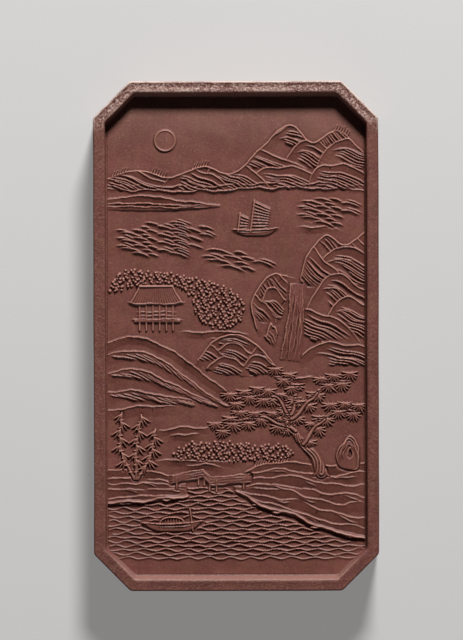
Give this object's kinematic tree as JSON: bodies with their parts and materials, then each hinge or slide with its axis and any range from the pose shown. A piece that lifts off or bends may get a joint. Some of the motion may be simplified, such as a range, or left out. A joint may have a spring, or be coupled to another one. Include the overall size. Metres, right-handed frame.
{
  "type": "ink cake",
  "caption": "Oblong red-brown ink cake with cut corners: a raised rim frames a sunk landscape in low relief, and the back has a bare sunk field.",
  "frame": {"origin": "centre of the flat border of the back, on which the cake rests", "axes": "the cake lies on its back: +X to the picture's right, +Y to the picture's top, +Z out of the picture"},
  "size_m": [0.0728, 0.13, 0.014],
  "materials": {
    "ink_body": "satin",
    "ink_rim": "satin",
    "ink_relief": "satin"
  },
  "bodies": {
    "root": {"back_slab": "ink_body", "rim": "ink_rim", "picture_ground": "ink_body", "leafy_tree": "ink_relief", "plank_bridge": "ink_relief", "bamboo_clump": "ink_relief", "moored_boat": "ink_relief", "hut": "ink_relief", "sailing_boat": "ink_relief", "garden_rock": "ink_relief", "front_thicket": "ink_relief", "left_bank": "ink_relief", "right_bank": "ink_relief", "near_slope": "ink_relief", "middle_hill": "ink_relief", "waterfall": "ink_relief", "cliff_left": "ink_relief", "cliff_right": "ink_relief", "back_thicket": "ink_relief", "far_shore": "ink_relief", "far_range": "ink_relief", "moon": "ink_relief", "lake_ripples_west": "ink_relief", "lake_ripples_east": "ink_relief", "lake_ripples_south": "ink_relief", "water_waves": "ink_relief"}
  },
  "joints": []
}
